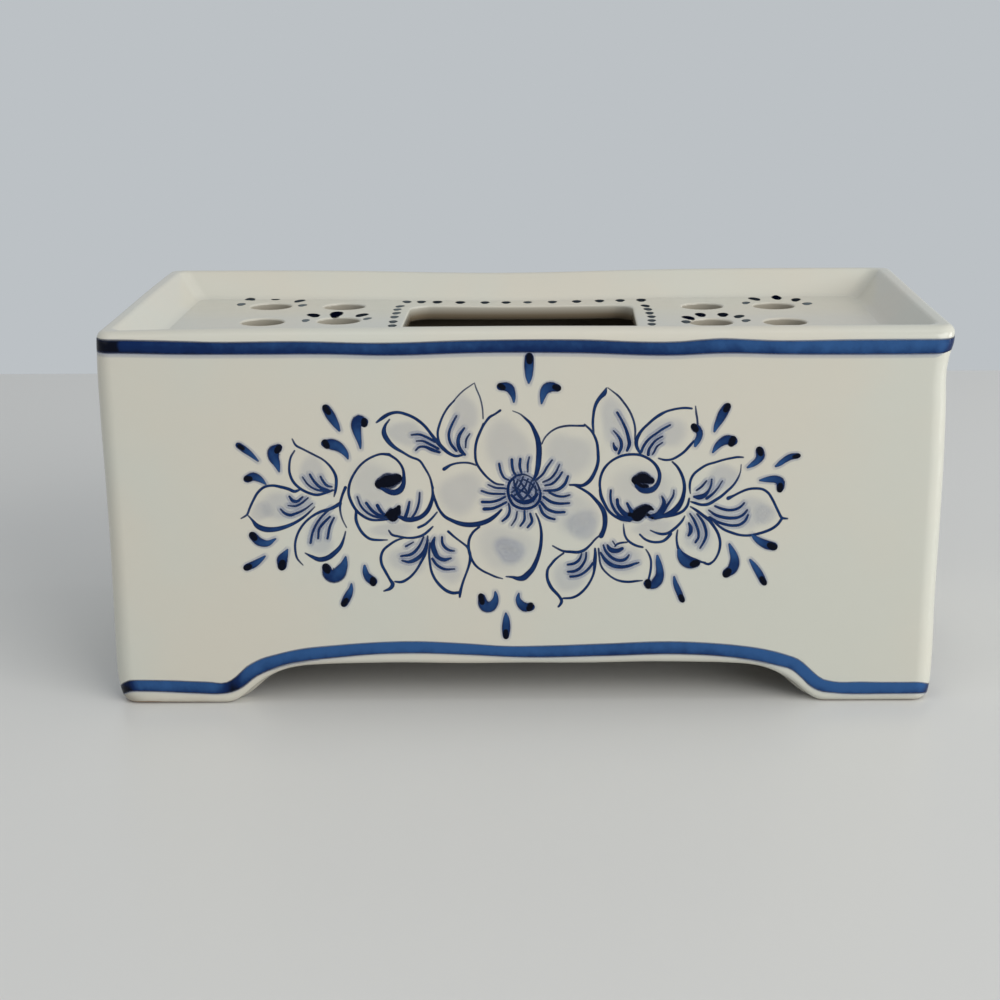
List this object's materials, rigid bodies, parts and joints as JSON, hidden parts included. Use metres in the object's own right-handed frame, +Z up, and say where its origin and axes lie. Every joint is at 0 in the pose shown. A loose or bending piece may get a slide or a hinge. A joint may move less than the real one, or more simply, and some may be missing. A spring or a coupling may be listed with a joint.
{
  "type": "flower brick",
  "caption": "Rectangular glazed earthenware flower brick on bracket feet, with a sunken pierced top whose holes and middle opening hold stems over a water reservoir.",
  "frame": {"origin": "middle of the footprint, on the surface that the feet stand on", "axes": "+Z up, +X along the long side to the right as seen from the front, front face towards -Y"},
  "size_m": [0.162, 0.07, 0.075],
  "materials": {
    "tin_glaze": "glossy warm white tin glaze over buff earthenware, worn thin along edges and wiped off the feet",
    "inner_glaze": "thin poured glaze inside the reservoir, and under the floor",
    "cobalt_paint": "cobalt blue brushwork fired into the glaze, darker where the brush was full"
  },
  "bodies": {
    "root": {"front_wall": "tin_glaze", "right_wall": "tin_glaze", "back_wall": "tin_glaze", "left_wall": "tin_glaze", "top_plate": "tin_glaze", "rim_coil": "tin_glaze", "floor_plate": "inner_glaze", "floor_coil": "inner_glaze", "front_left_coil": "inner_glaze", "front_right_coil": "inner_glaze", "back_left_coil": "inner_glaze", "back_right_coil": "inner_glaze"}
  },
  "joints": []
}
